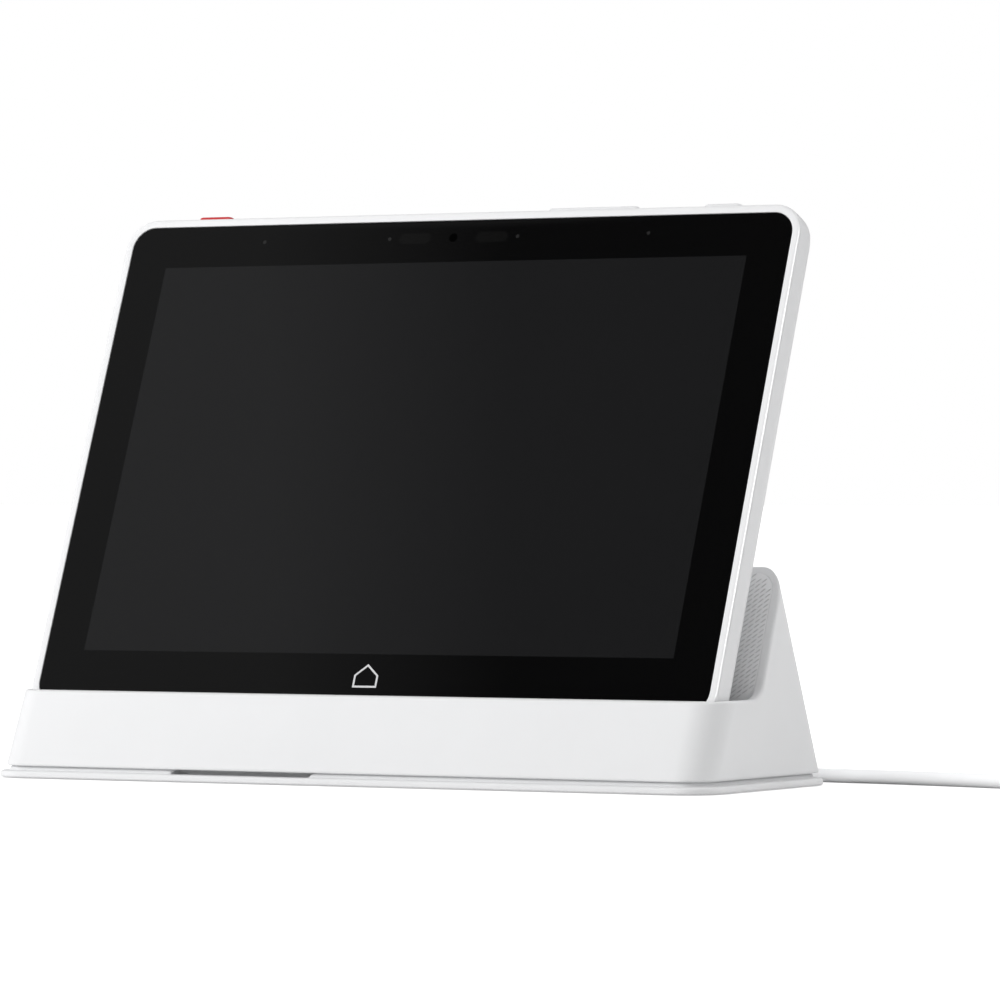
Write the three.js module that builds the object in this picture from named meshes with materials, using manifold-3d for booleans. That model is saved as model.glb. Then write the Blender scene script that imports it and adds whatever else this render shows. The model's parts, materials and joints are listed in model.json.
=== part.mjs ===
// Smart home hub: a touch display that stands in a wedge-shaped charging dock, with its power cable.
//
// Millimetres, +Z up. The origin is the centre of the dock's footprint, on the table. +X is the
// display's right-hand side as its user sees it, and +Y is towards the back of the dock.
//
// The display and the cradle are modelled in groups turned back by TILT. In those groups x is
// across, y runs from the display's front face to its back, and z runs up from its bottom edge.

import * as THREE from 'three';
import { mergeVertices } from 'three/addons/utils/BufferGeometryUtils.js';
import Module from 'manifold-3d';

const wasm = await Module();
wasm.setup();

// ---------------------------------------------------------------- driving dimensions

const GAP = 0.3;                 // between neighbouring pieces
const PAST = 1;                  // how far a cutting shape runs past what it cuts
const QUARTER_TURN = Math.PI / 2;

// Display
const TILT = THREE.MathUtils.degToRad(21.5);
const DISPLAY_FOOT = [0, -23.75, 17.2];     // bottom edge of the front face, when docked
const DISPLAY = { width: 200.2, height: 138.5, depth: 16.8, corner: 8.3, split: 6.4, wall: 2.1 };
const FRONT_ROUND = 0.8;                   // rounding of the front edge
const REAR = {                             // the back's edge: round, then sloping in, then flat
  start: 4.8, edgeRound: 6.2, slope: THREE.MathUtils.degToRad(30), shoulderRound: 8, cornerGrowth: 0.6, wall: 1.6,
};
const GLASS = { inset: 2.35, front: 0.1, back: 1.1 };
const LEDGE = { inset: 4, front: 1.4, back: 2 };
const PANEL = { width: 179, height: 114, centre: 70.6, front: 1.4, back: 3.1 };
const CHASSIS = { width: 188, height: 122, centre: 66, front: 3.4, back: 4.2 };
const SENSOR_ROW = 131.3;                  // height of the camera and microphones
const BEHIND_GLASS = GLASS.back + GAP;
const BOARD = { width: 100, height: 42, centre: 101, front: 5.2, back: 6.2 };
const BOARD_SCREW = { x: 46, z: 17 };      // from the board's centre
const REAR_SCREW = { x: 74, low: 26, high: 113 };
const SPEAKER = { x: 68, z: 100, width: 26, height: 22 };
const VENT = { count: 5, pitch: 3.2, length: 20, width: 1.4 };
const MARK = { z: 11, half: 3.5, wall: 3.3, roof: 3, line: 0.5 };

// Keys on the display's top edge
const KEY = { depth: 3.9, width: 2.8, clearance: 0.25, flangeTop: 135.9, bottom: 135.2 };
const SWITCH_TOP = 134.4;
const KEYS = {
  alarm_button: { x: -75.7, length: 10.4, rise: 1.65 },
  volume_rocker: { x: 38, length: 26.4, rise: 1.65 },
  power_button: { x: 75.2, length: 10.6, rise: 1.65 },
};

// Charging contacts, between the cradle's floor and the display's bottom edge
const CONTACTS = [-7.5, -2.5, 2.5, 7.5];
const CONTACT_DEPTH = 4.2;
const PIN = { radius: 0.65, hole: 0.95, tip: 0.6, bottom: -4.5 };
const PAD = { radius: 1, hole: 1.3, bottom: 0.9, top: 1.9 };

// Dock
const DOCK = { halfWidth: 103, halfDepth: 34.55, corner: 8.5, bottom: 3.2, rim: 22.5, top: 55.3, wall: 2.2 };
const LEAN = 0.46;                         // how far front and back lean in, per unit of height
const TOP_CORNER = 8;                      // upper corners of the backrest
const RIM_FILLET = 6;                      // where the rim meets the backrest
const CRADLE = { halfWidth: 100.6, front: -0.4, floor: -0.4, back: 17.1, corner: 8 };
const LINER = { width: 200.6, bottom: 12.7, top: 45.4, corner: 4.4, recess: 1.2, front: 0.15, clearance: 0.15 };
const BACKREST_WALL = 3.1;
const BASE = { bottom: 0.25, flange: 1.95, plinth: 2.9, spigot: 4.4, outset: 1.4, inset: 1.2, spigotInset: 3.3 };
const FOOT_PAD = { inset: 6, top: 0.7, recess: 1 };
const NOTCH = { left: -50, right: -7.5, bottom: 1.95, depth: 6 };    // opening in the plinth's front
const SCREW_AT = { x: 92, y: 22 };
const SCREW = { radius: 1.2, head: 2.6, hole: 1.5, headHole: 3 };

// Power socket, plug and cable
const PORT_HEIGHT = 9.7;
const SOCKET = { width: 9.4, height: 3.6, front: 20.9, back: 28.4 };
const PLUG = { width: 12, height: 6.4, front: 29.4, back: 44.4, shellWidth: 8.25, shellHeight: 2.4, shellFront: 22.4 };
const CABLE_RADIUS = 1.75;
const FAR_PLUG = { x: 194, y: 16, z: 4, turn: THREE.MathUtils.degToRad(-27) };

// ---------------------------------------------------------------- shapes and solids

/** Corner points of a rounded rectangle, anticlockwise. */
function roundedOutline(width, height, radius, centreX = 0, centreY = 0, steps = 4) {
  const points = [];
  const signs = [[1, 1], [-1, 1], [-1, -1], [1, -1]];
  signs.forEach(([sx, sy], corner) => {
    for (let i = 0; i <= steps; i++) {
      const angle = (corner + i / steps) * QUARTER_TURN;
      points.push(new THREE.Vector2(
        centreX + sx * (width / 2 - radius) + radius * Math.cos(angle),
        centreY + sy * (height / 2 - radius) + radius * Math.sin(angle),
      ));
    }
  });
  return points;
}

/** The display's outline in its own x and z, moved in from its edge. */
function displayOutline(inset, corner = DISPLAY.corner - inset) {
  const { width, height } = DISPLAY;
  return roundedOutline(width - 2 * inset, height - 2 * inset, corner, 0, height / 2, 7);
}

const extruded = (outline, depth) =>
  new THREE.ExtrudeGeometry(new THREE.Shape(outline), { depth, bevelEnabled: false });

/** An outline in x and y, raised from z = bottom to z = top. */
const plate = (outline, bottom, top) => extruded(outline, top - bottom).translate(0, 0, bottom);

/** An outline in x and z, carried from y = front to y = back. */
const slab = (outline, front, back) => extruded(outline, back - front).rotateX(QUARTER_TURN).translate(0, back, 0);

function block([left, right], [front, back], [bottom, top]) {
  const geometry = new THREE.BoxGeometry(right - left, back - front, top - bottom);
  return geometry.translate((left + right) / 2, (front + back) / 2, (bottom + top) / 2);
}

/** A round bar along z. */
const post = (radius, x, y, bottom, top, sides = 16) =>
  new THREE.CylinderGeometry(radius, radius, top - bottom, sides)
    .rotateX(QUARTER_TURN).translate(x, y, (bottom + top) / 2);

/** A round bar along y. */
const rod = (radius, x, z, front, back, sides = 16) =>
  new THREE.CylinderGeometry(radius, radius, back - front, sides).translate(x, (front + back) / 2, z);

/** A closed skin over rings of equal point counts, each anticlockwise seen from the last ring's side. */
function loft(rings) {
  const count = rings[0].length;
  const last = rings.length - 1;
  const index = [];
  for (let ring = 0; ring < last; ring++) {
    for (let i = 0; i < count; i++) {
      const a = ring * count + i;
      const b = ring * count + ((i + 1) % count);
      index.push(a, b, b + count, a, b + count, a + count);
    }
  }
  for (let i = 1; i < count - 1; i++) {
    index.push(0, i + 1, i);
    index.push(last * count, last * count + i, last * count + i + 1);
  }
  const geometry = new THREE.BufferGeometry();
  const positions = rings.flat().flatMap((p) => [p.x, p.y, p.z]);
  geometry.setAttribute('position', new THREE.Float32BufferAttribute(positions, 3));
  geometry.setIndex(index);
  return geometry;
}

/** The display's outline at several insets and depths, given from the front to the back. */
function displayLoft(profile) {
  const rings = profile.map(({ inset, depth, corner }) => displayOutline(inset, corner)
    .map((p) => new THREE.Vector3(p.x, p.y, -depth)));
  return loft(rings.reverse()).rotateX(QUARTER_TURN);
}

function solidOf(geometry) {
  const bare = geometry.index ? geometry.toNonIndexed() : geometry.clone();
  bare.deleteAttribute('normal');
  bare.deleteAttribute('uv');
  const merged = mergeVertices(bare, 1e-4);
  return new wasm.Manifold(new wasm.Mesh({
    numProp: 3,
    vertProperties: merged.attributes.position.array,
    triVerts: new Uint32Array(merged.index.array),
  }));
}

function geometryOf(solid) {
  const { vertProperties, triVerts } = solid.getMesh();
  const geometry = new THREE.BufferGeometry();
  geometry.setAttribute('position', new THREE.BufferAttribute(vertProperties, 3));
  geometry.setIndex(new THREE.BufferAttribute(triVerts, 1));
  geometry.computeVertexNormals();
  return geometry;
}

const cut = (body, ...tools) => geometryOf(tools.reduce((left, tool) => left.subtract(solidOf(tool)), solidOf(body)));
const join = (body, ...more) => geometryOf(more.reduce((sum, piece) => sum.add(solidOf(piece)), solidOf(body)));
const common = (body, other) => geometryOf(solidOf(body).intersect(solidOf(other)));

// ---------------------------------------------------------------- materials and placing

const finish = (color, roughness, metalness = 0) => new THREE.MeshStandardMaterial({ color, roughness, metalness });
const MATERIALS = {
  white: finish(0xf1f1f2, 0.45),
  liner: finish(0xb4b5b8, 0.8),
  glass: finish(0x0b0b0c, 0.08),
  screen: finish(0x202124, 0.2),
  alarm: finish(0xc8343a, 0.4),
  rubber: finish(0x8d8e90, 0.9),
  steel: finish(0x9a9da2, 0.35, 1),
  gold: finish(0xd8b25a, 0.25, 1),
  board: finish(0x1d5a3a, 0.6),
  dark: finish(0x1a1a1c, 0.6),
  cell: finish(0x2c2f36, 0.5),
};

function addPiece(group, name, material, geometry) {
  const mesh = new THREE.Mesh(geometry, MATERIALS[material].clone());
  mesh.name = name;
  group.add(mesh);
}

function tiltedGroup() {
  const group = new THREE.Group();
  group.position.set(...DISPLAY_FOOT);
  group.rotation.x = -TILT;
  return group;
}

// ---------------------------------------------------------------- display

/** The rear edge's curve between two depths near its start; shrink draws the curve inwards. */
function sideCurve(from, to, steps, shrink = 0) {
  const radius = REAR.edgeRound - shrink;
  const angleAt = (depth) => Math.asin((depth - REAR.start) / REAR.edgeRound);
  return Array.from({ length: steps + 1 }, (_, i) => {
    const angle = angleAt(from) + (angleAt(to) - angleAt(from)) * i / steps;
    const inset = REAR.edgeRound - radius * Math.cos(angle);
    return { inset, depth: REAR.start + radius * Math.sin(angle), corner: cornerAt(inset, shrink) };
  });
}

/** The display's corner radius where its side has moved in by inset. */
const cornerAt = (inset, shrink) => DISPLAY.corner - 1.6 * shrink + REAR.cornerGrowth * inset;

/** The rear cover's side view: round edge, slope, round shoulder; shrink draws it inwards. */
function rearProfile(shrink) {
  const { start, edgeRound, slope, shoulderRound } = REAR;
  const turned = QUARTER_TURN - slope;
  const slopeStart = start + edgeRound * Math.sin(turned);
  const curve = sideCurve(DISPLAY.split + GAP, slopeStart, 4, shrink);
  const slopeDepth = DISPLAY.depth - slopeStart - shoulderRound * (1 - Math.cos(slope));
  const shoulderInset = edgeRound * (1 - Math.cos(turned)) + slopeDepth / Math.tan(slope) + shoulderRound * Math.sin(slope);
  const steps = 3;
  for (let i = 0; i <= steps; i++) {
    const angle = slope * (1 - i / steps);
    const radius = shoulderRound - shrink;
    const inset = shoulderInset - radius * Math.sin(angle);
    const depth = DISPLAY.depth - shoulderRound + radius * Math.cos(angle);
    curve.push({ inset, depth, corner: cornerAt(inset, shrink) });
  }
  return curve;
}

const keyOutline = ({ x, length }, endMargin, sideMargin) => roundedOutline(
  length + 2 * endMargin, KEY.width + 2 * sideMargin, KEY.width / 2 + sideMargin - 0.05, x, KEY.depth,
);

const contactOutline = (length, width) => roundedOutline(length, width, width / 2 - 0.05, 0, CONTACT_DEPTH);

function frontFrame() {
  const steps = 3;
  const frontCurve = Array.from({ length: steps + 1 }, (_, i) => {
    const angle = QUARTER_TURN * i / steps;
    return { inset: FRONT_ROUND * (1 - Math.sin(angle)), depth: FRONT_ROUND * (1 - Math.cos(angle)) };
  });
  const body = displayLoft([...frontCurve, ...sideCurve(REAR.start, DISPLAY.split, 2)]);
  const { height, wall, split } = DISPLAY;
  return cut(
    body,
    slab(displayOutline(GLASS.inset - GAP / 2), -PAST, LEDGE.front),
    slab(displayOutline(LEDGE.inset), 0, LEDGE.back + PAST),
    slab(displayOutline(wall), LEDGE.back, split + PAST),
    ...Object.values(KEYS).map((key) => plate(keyOutline(key, KEY.clearance, KEY.clearance), height - 2 * wall, height + PAST)),
    plate(contactOutline(26, 3.2), -PAST, 2 * wall),
  );
}

function rearCover() {
  const inside = rearProfile(REAR.wall);
  inside.unshift({ ...inside[0], depth: DISPLAY.split - PAST });
  const back = DISPLAY.depth;
  const vents = [-1, 1].flatMap((side) => Array.from({ length: VENT.count }, (_, i) => {
    const z = SPEAKER.z + (i - (VENT.count - 1) / 2) * VENT.pitch;
    const outline = roundedOutline(VENT.length, VENT.width, VENT.width / 2 - 0.05, side * SPEAKER.x, z, 3);
    return slab(outline, back - 2 * REAR.wall, back + PAST);
  }));
  const screwHoles = rearScrewPlaces().map(([x, z]) => rod(2.3, x, z, back - 2 * REAR.wall, back + PAST));
  return cut(displayLoft(rearProfile(0)), displayLoft(inside), ...vents, ...screwHoles);
}

function rearScrewPlaces() {
  const { x, low, high } = REAR_SCREW;
  return [[-x, low], [x, low], [-x, high], [x, high]];
}

function key(spec) {
  const { bottom, flangeTop } = KEY;
  return join(
    plate(keyOutline(spec, 0, 0), bottom, DISPLAY.height + spec.rise),
    plate(keyOutline(spec, 1, 0.3), bottom, flangeTop),
  );
}

/** A strip board under the keys, with a switch below each place given. */
function switchBoard(left, right, places) {
  const boardTop = 132.6;
  const strip = block([left, right], [2.4, 5.8], [131.8, boardTop]);
  return join(strip, ...places.map((x) => block([x - 1.8, x + 1.8], [2.8, 5.2], [boardTop - 0.1, SWITCH_TOP])));
}

function boardScrewPlaces() {
  const { x, z } = BOARD_SCREW;
  return [[-x, -z], [x, -z], [-x, z], [x, z]].map(([dx, dz]) => [dx, BOARD.centre + dz]);
}

function mainBoard() {
  const body = slab(roundedOutline(BOARD.width, BOARD.height, 2, 0, BOARD.centre), BOARD.front, BOARD.back);
  return cut(body, ...boardScrewPlaces().map(([x, z]) => rod(1.4, x, z, BOARD.front - PAST, BOARD.back + PAST)));
}

/** A small screw along y, its head towards the back. */
const smallScrew = (x, z, tip, headFront, headBack) =>
  join(rod(1.1, x, z, tip, headBack), rod(2, x, z, headFront, headBack));

/** A plain house outline in x and z. */
function houseMark() {
  const { z, half, wall, roof, line } = MARK;
  const outer = new THREE.Shape([
    new THREE.Vector2(-half, z - wall),
    new THREE.Vector2(half, z - wall),
    new THREE.Vector2(half, z),
    new THREE.Vector2(0, z + roof),
    new THREE.Vector2(-half, z),
  ]);
  const inner = new THREE.Path([
    new THREE.Vector2(-half + line, z - wall + line),
    new THREE.Vector2(-half + line, z - line / 3),
    new THREE.Vector2(0, z + roof - 1.3 * line),
    new THREE.Vector2(half - line, z - line / 3),
    new THREE.Vector2(half - line, z - wall + line),
  ]);
  outer.holes.push(inner);
  const geometry = new THREE.ExtrudeGeometry(outer, { depth: 0.1, bevelEnabled: false });
  return geometry.rotateX(QUARTER_TURN).translate(0, GLASS.front - 0.06, 0);
}

function contactCarrier() {
  const { wall } = DISPLAY;
  const body = join(
    plate(contactOutline(25.2, 2.4), 1, wall + 1.4),
    plate(roundedOutline(29, 3.4, 0.8, 0, CONTACT_DEPTH), wall + GAP, wall + 1.4),
  );
  return cut(body, ...CONTACTS.map((x) => post(PAD.hole - 0.2, x, CONTACT_DEPTH, 0, PAD.top + GAP)));
}

function makeDisplay() {
  const display = tiltedGroup();
  const add = (name, material, geometry) => addPiece(display, name, material, geometry);

  add('front_frame', 'white', frontFrame());
  add('cover_glass', 'glass', slab(displayOutline(GLASS.inset), GLASS.front, GLASS.back));
  add('front_mark', 'white', houseMark());
  add('display_panel', 'screen', slab(
    roundedOutline(PANEL.width, PANEL.height, 1.5, 0, PANEL.centre), PANEL.front, PANEL.back,
  ));
  add('chassis', 'steel', slab(
    roundedOutline(CHASSIS.width, CHASSIS.height, 3, 0, CHASSIS.centre), CHASSIS.front, CHASSIS.back,
  ));
  add('rear_cover', 'white', rearCover());

  add('camera', 'dark', rod(1.9, 0, SENSOR_ROW, BEHIND_GLASS, 5));
  for (const [side, sign] of [['left', -1], ['right', 1]]) {
    const windowX = sign * 11.4;
    const speakerX = sign * SPEAKER.x;
    const shieldX = sign * 17;
    add(`sensor_${side}`, 'dark', block([windowX - 4.6, windowX + 4.6], [BEHIND_GLASS, 2.6], [129.8, 132.8]));
    add(`status_light_${side}`, 'white', rod(0.7, sign * 19, SENSOR_ROW, BEHIND_GLASS, 2.8, 12));
    add(`microphone_${side}`, 'dark', rod(0.8, sign * 57, SENSOR_ROW, BEHIND_GLASS, 2.1, 12));
    add(`shield_${side}`, 'steel', block([shieldX - 13, shieldX + 13], [BOARD.back + GAP, 7.8], [88, 114]));
    add(`speaker_${side}`, 'dark', block(
      [speakerX - SPEAKER.width / 2, speakerX + SPEAKER.width / 2],
      [4.8, 12],
      [SPEAKER.z - SPEAKER.height / 2, SPEAKER.z + SPEAKER.height / 2],
    ));
  }
  add('main_board', 'board', mainBoard());
  add('battery', 'cell', slab(roundedOutline(96, 52, 2, 0, 46), 4.8, 10.4));
  boardScrewPlaces().forEach(([x, z], i) => {
    add(`board_screw_${i + 1}`, 'steel', smallScrew(x, z, CHASSIS.back + GAP, BOARD.back + GAP, 7.5));
  });
  rearScrewPlaces().forEach(([x, z], i) => {
    add(`rear_screw_${i + 1}`, 'steel', smallScrew(x, z, 12.4, 15.6, 16.5));
  });

  add('alarm_button', 'alarm', key(KEYS.alarm_button));
  add('volume_rocker', 'white', key(KEYS.volume_rocker));
  add('power_button', 'white', key(KEYS.power_button));
  const { alarm_button: alarm, volume_rocker: volume, power_button: power } = KEYS;
  add('switch_board_left', 'board', switchBoard(alarm.x - 7, alarm.x + 7, [alarm.x]));
  add('switch_board_right', 'board', switchBoard(volume.x - 14, power.x + 7, [volume.x - 9, volume.x + 9, power.x]));

  add('contact_carrier', 'dark', contactCarrier());
  CONTACTS.forEach((x, i) => {
    add(`charge_pad_${i + 1}`, 'gold', post(PAD.radius - 0.15, x, CONTACT_DEPTH, PAD.bottom, PAD.top, 12));
  });
  return display;
}

// ---------------------------------------------------------------- dock

/** The dock's wedge, drawn in by shrink, from below its bottom edge to a chosen height. */
function wedge(shrink, bottom, top) {
  const ring = (z) => {
    const rise = z - DOCK.bottom;
    const halfDepth = DOCK.halfDepth - LEAN * rise - shrink;
    return roundedOutline(2 * (DOCK.halfWidth - shrink), 2 * halfDepth, DOCK.corner - shrink, 0, 0, 8)
      .map((p) => new THREE.Vector3(p.x, p.y, z));
  };
  return loft([ring(bottom), ring(top)]);
}

/** A point in the dock's y and z, from the cradle's depth and height. */
function cradlePoint(depth, height) {
  const [, footY, footZ] = DISPLAY_FOOT;
  return new THREE.Vector2(
    footY + depth * Math.cos(TILT) + height * Math.sin(TILT),
    footZ - depth * Math.sin(TILT) + height * Math.cos(TILT),
  );
}

/** Everything above the rim and in front of the backrest, filleted where they meet. */
function openSpace(depth, rim, fillet) {
  const along = (z) => cradlePoint(depth, (z - cradlePoint(depth, 0).y) / Math.cos(TILT));
  const corner = along(rim);
  const reach = fillet * Math.tan((QUARTER_TURN - TILT) / 2);
  const centre = new THREE.Vector2(corner.x - reach, rim + fillet);
  const far = 80;
  const high = 100;
  const outline = [new THREE.Vector2(-far, rim)];
  const steps = 6;
  for (let i = 0; i <= steps; i++) {
    const angle = -QUARTER_TURN + (QUARTER_TURN - TILT) * i / steps;
    outline.push(new THREE.Vector2(centre.x + fillet * Math.cos(angle), centre.y + fillet * Math.sin(angle)));
  }
  outline.push(along(high), new THREE.Vector2(-far, high));
  // Drawn in y and z, then stood up and carried across the dock.
  const across = 2 * DOCK.halfWidth + 20;
  return extruded(outline, across).rotateX(QUARTER_TURN).rotateZ(QUARTER_TURN).translate(-across / 2, 0, 0);
}

const inCradle = (geometry) => geometry.rotateX(-TILT).translate(...DISPLAY_FOOT);

/** The pocket the display stands in, grown by extra on every side. */
function pocket(extra) {
  const { halfWidth, front, floor, back, corner } = CRADLE;
  const height = 60;
  const width = 2 * (halfWidth + extra);
  const outline = roundedOutline(width, height, corner, 0, floor - extra + height / 2, 6);
  return inCradle(slab(outline, front - extra, back + extra));
}

function dockShell() {
  const { halfWidth, wall, top, rim, bottom } = DOCK;
  const frontView = roundedOutline(2 * halfWidth + 2, 2 * top, TOP_CORNER, 0, 0, 6);
  const outer = common(wedge(0, bottom, top + PAST), slab(frontView, -100, 100));
  const growth = (BACKREST_WALL - wall);
  const insideView = roundedOutline(2 * (halfWidth - wall), 2 * (top - wall), TOP_CORNER - wall, 0, 0, 6);
  const hollow = cut(
    common(wedge(wall, bottom - PAST, top), slab(insideView, -100, 100)),
    pocket(wall),
    openSpace(CRADLE.back + wall + growth, rim - wall, RIM_FILLET),
  );
  const bosses = screwPlaces().map(([x, y]) => common(post(3.4, x, y, BASE.spigot + GAP, top), outer));
  const linerHeight = LINER.top - LINER.bottom;
  const linerRecess = inCradle(slab(
    roundedOutline(LINER.width, linerHeight, LINER.corner, 0, (LINER.top + LINER.bottom) / 2),
    CRADLE.back - PAST,
    CRADLE.back + LINER.recess,
  ));
  return cut(
    join(cut(outer, hollow), ...bosses),
    pocket(0),
    openSpace(CRADLE.back, rim, RIM_FILLET),
    linerRecess,
    inCradle(plate(contactOutline(26, 3.6), CRADLE.floor - 2 * wall, CRADLE.floor + PAST)),
    slab(roundedOutline(PLUG.width + 0.9, PLUG.height + 0.9, 2.6, 0, PORT_HEIGHT), 25.4, 50),
    ...screwPlaces().map(([x, y]) => post(SCREW.hole, x, y, 0, 10.6)),
  );
}

function screwPlaces() {
  const { x, y } = SCREW_AT;
  return [[-x, -y], [x, -y], [-x, y], [x, y]];
}

/** The dock's footprint in x and y, moved in by inset. */
const footprint = (inset) => roundedOutline(
  2 * (DOCK.halfWidth - inset), 2 * (DOCK.halfDepth - inset), DOCK.corner - inset, 0, 0, 8,
);

function basePlate() {
  const body = join(
    plate(footprint(-BASE.outset), BASE.bottom, BASE.flange),
    plate(footprint(BASE.inset), BASE.flange - 0.5, BASE.plinth),
    plate(footprint(BASE.spigotInset), BASE.plinth - 0.5, BASE.spigot),
  );
  const frontY = -DOCK.halfDepth - PAST;
  return cut(
    body,
    plate(footprint(FOOT_PAD.inset - GAP), 0, FOOT_PAD.recess),
    block([NOTCH.left, NOTCH.right], [frontY, frontY + NOTCH.depth], [NOTCH.bottom, BASE.spigot + PAST]),
    ...screwPlaces().flatMap(([x, y]) => [
      post(SCREW.headHole, x, y, 0, 2.7),
      post(SCREW.hole, x, y, 2, BASE.spigot + PAST),
    ]),
  );
}

const baseScrew = (x, y) => join(
  post(SCREW.radius, x, y, 1.3, 10.2, 12),
  post(SCREW.head, x, y, 1.3, 2.4),
);

function pogoBlock() {
  const body = join(
    plate(contactOutline(25.2, 2.8), -6.4, CRADLE.floor),
    plate(roundedOutline(30, 6, 1, 0, CONTACT_DEPTH), -6.4, CRADLE.floor - DOCK.wall - GAP),
  );
  return cut(body, ...CONTACTS.map((x) => post(PIN.hole, x, CONTACT_DEPTH, PIN.bottom - 1.3, PAST, 12)));
}

const stadium = (width, height) => roundedOutline(width, height, height / 2 - 0.05, 0, PORT_HEIGHT);

function usbSocket() {
  return cut(
    slab(stadium(SOCKET.width, SOCKET.height), SOCKET.front, SOCKET.back),
    slab(stadium(PLUG.shellWidth + GAP, PLUG.shellHeight + GAP), PLUG.shellFront - GAP, SOCKET.back + PAST),
  );
}

function makeDock() {
  const dock = new THREE.Group();
  const add = (name, material, geometry) => addPiece(dock, name, material, geometry);
  add('dock_shell', 'white', dockShell());
  add('base_plate', 'white', basePlate());
  add('foot_pad', 'rubber', plate(footprint(FOOT_PAD.inset), 0, FOOT_PAD.top));
  add('ballast_left', 'steel', block([-84, -26], [-3, 24], [BASE.spigot + GAP, 11]));
  add('ballast_right', 'steel', block([26, 84], [-3, 24], [BASE.spigot + GAP, 11]));
  add('dock_board', 'board', block([-20, 20], [-4, 26.4], [6, 7.2]));
  add('usb_socket', 'steel', usbSocket());
  screwPlaces().forEach(([x, y], i) => add(`base_screw_${i + 1}`, 'steel', baseScrew(x, y)));

  const cradle = tiltedGroup();
  const linerOutline = roundedOutline(
    LINER.width - 2 * LINER.clearance,
    LINER.top - LINER.bottom - 2 * LINER.clearance,
    LINER.corner - LINER.clearance,
    0,
    (LINER.top + LINER.bottom) / 2,
  );
  addPiece(cradle, 'backrest_panel', 'liner', slab(
    linerOutline, CRADLE.back + LINER.front, CRADLE.back + LINER.recess - GAP,
  ));
  addPiece(cradle, 'pogo_block', 'dark', pogoBlock());
  CONTACTS.forEach((x, i) => {
    addPiece(cradle, `pogo_pin_${i + 1}`, 'gold', post(PIN.radius, x, CONTACT_DEPTH, PIN.bottom, PIN.tip, 12));
  });
  dock.add(cradle);
  return dock;
}

// ---------------------------------------------------------------- cable

function cablePath() {
  const table = CABLE_RADIUS;
  const points = [
    [0, 47.9, PORT_HEIGHT], [1.5, 53.4, 8.6], [9, 59.6, 4], [24, 61.5, table + 0.3], [50, 57, table],
    [94.5, 47.6, table], [115, 45.2, table], [143, 39, table], [173, 26.8, table + 0.4],
    [FAR_PLUG.x, FAR_PLUG.y, FAR_PLUG.z],
  ].map(([x, y, z]) => new THREE.Vector3(x, y, z));
  return new THREE.CatmullRomCurve3(points);
}

function cable() {
  const circle = new THREE.Shape();
  circle.absarc(0, 0, CABLE_RADIUS, 0, 2 * Math.PI);
  return new THREE.ExtrudeGeometry(circle, {
    steps: 56, curveSegments: 5, bevelEnabled: false, extrudePath: cablePath(),
  });
}

function makeCable() {
  const group = new THREE.Group();
  const shellOutline = roundedOutline(PLUG.shellWidth, PLUG.shellHeight, PLUG.shellHeight / 2 - 0.05, 0, PORT_HEIGHT);
  addPiece(group, 'plug_shell', 'steel', slab(shellOutline, PLUG.shellFront, PLUG.front - GAP));
  const plugOutline = roundedOutline(PLUG.width, PLUG.height, 2.2, 0, PORT_HEIGHT);
  const relief = new THREE.CylinderGeometry(2.1, 2.9, 4, 16).translate(0, PLUG.back + 1, PORT_HEIGHT);
  addPiece(group, 'plug_body', 'white', join(slab(plugOutline, PLUG.front, PLUG.back), relief));
  addPiece(group, 'power_cable', 'white', cable());

  const farPlug = new THREE.Group();
  farPlug.position.set(FAR_PLUG.x, FAR_PLUG.y, FAR_PLUG.z);
  farPlug.rotation.z = FAR_PLUG.turn;
  addPiece(farPlug, 'far_plug_body', 'white', block([0.6, 24], [-8, 8], [-4, 4]));
  addPiece(farPlug, 'far_plug_shell', 'steel', block([24.3, 36.3], [-6, 6], [-2.25, 2.25]));
  group.add(farPlug);
  return group;
}

const hub = new THREE.Group();
hub.add(makeDock(), makeDisplay(), makeCable());

export default hub;
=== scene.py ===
"""Looks of the smart home hub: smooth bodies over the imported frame, procedural materials, light and camera.

Shapes are worked out in millimetres and stored in metres. The display's own axes are u across, d from the
front face to the back, and h up from its bottom edge; they are the part's axes turned back by TILT.
"""

import json
import math

import bpy
import numpy as np
from mathutils import Matrix, Vector


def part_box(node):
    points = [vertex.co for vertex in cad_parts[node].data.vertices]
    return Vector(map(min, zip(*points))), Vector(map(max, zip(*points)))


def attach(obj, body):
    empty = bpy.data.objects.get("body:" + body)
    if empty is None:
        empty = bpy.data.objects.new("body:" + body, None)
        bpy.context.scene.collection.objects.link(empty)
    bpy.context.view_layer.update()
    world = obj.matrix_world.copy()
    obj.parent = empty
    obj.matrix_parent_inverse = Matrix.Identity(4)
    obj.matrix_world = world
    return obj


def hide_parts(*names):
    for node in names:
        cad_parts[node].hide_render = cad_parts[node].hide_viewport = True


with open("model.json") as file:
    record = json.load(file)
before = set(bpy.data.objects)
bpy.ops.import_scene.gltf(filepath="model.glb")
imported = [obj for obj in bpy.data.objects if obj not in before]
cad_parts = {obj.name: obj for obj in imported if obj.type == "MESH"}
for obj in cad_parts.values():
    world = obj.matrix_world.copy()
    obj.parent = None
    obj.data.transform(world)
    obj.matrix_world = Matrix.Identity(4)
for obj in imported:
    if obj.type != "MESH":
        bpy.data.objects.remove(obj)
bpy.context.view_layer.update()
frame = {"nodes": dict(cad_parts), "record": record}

# ------------------------------------------------------------------ measures, in millimetres

MM = 0.001


def box_mm(node):
    """Lowest and highest corner of a CAD node, in millimetres."""
    low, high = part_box(node)
    return np.array(low) / MM, np.array(high) / MM


CRISP = 0.01                               # rounding of an edge that looks sharp

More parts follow.
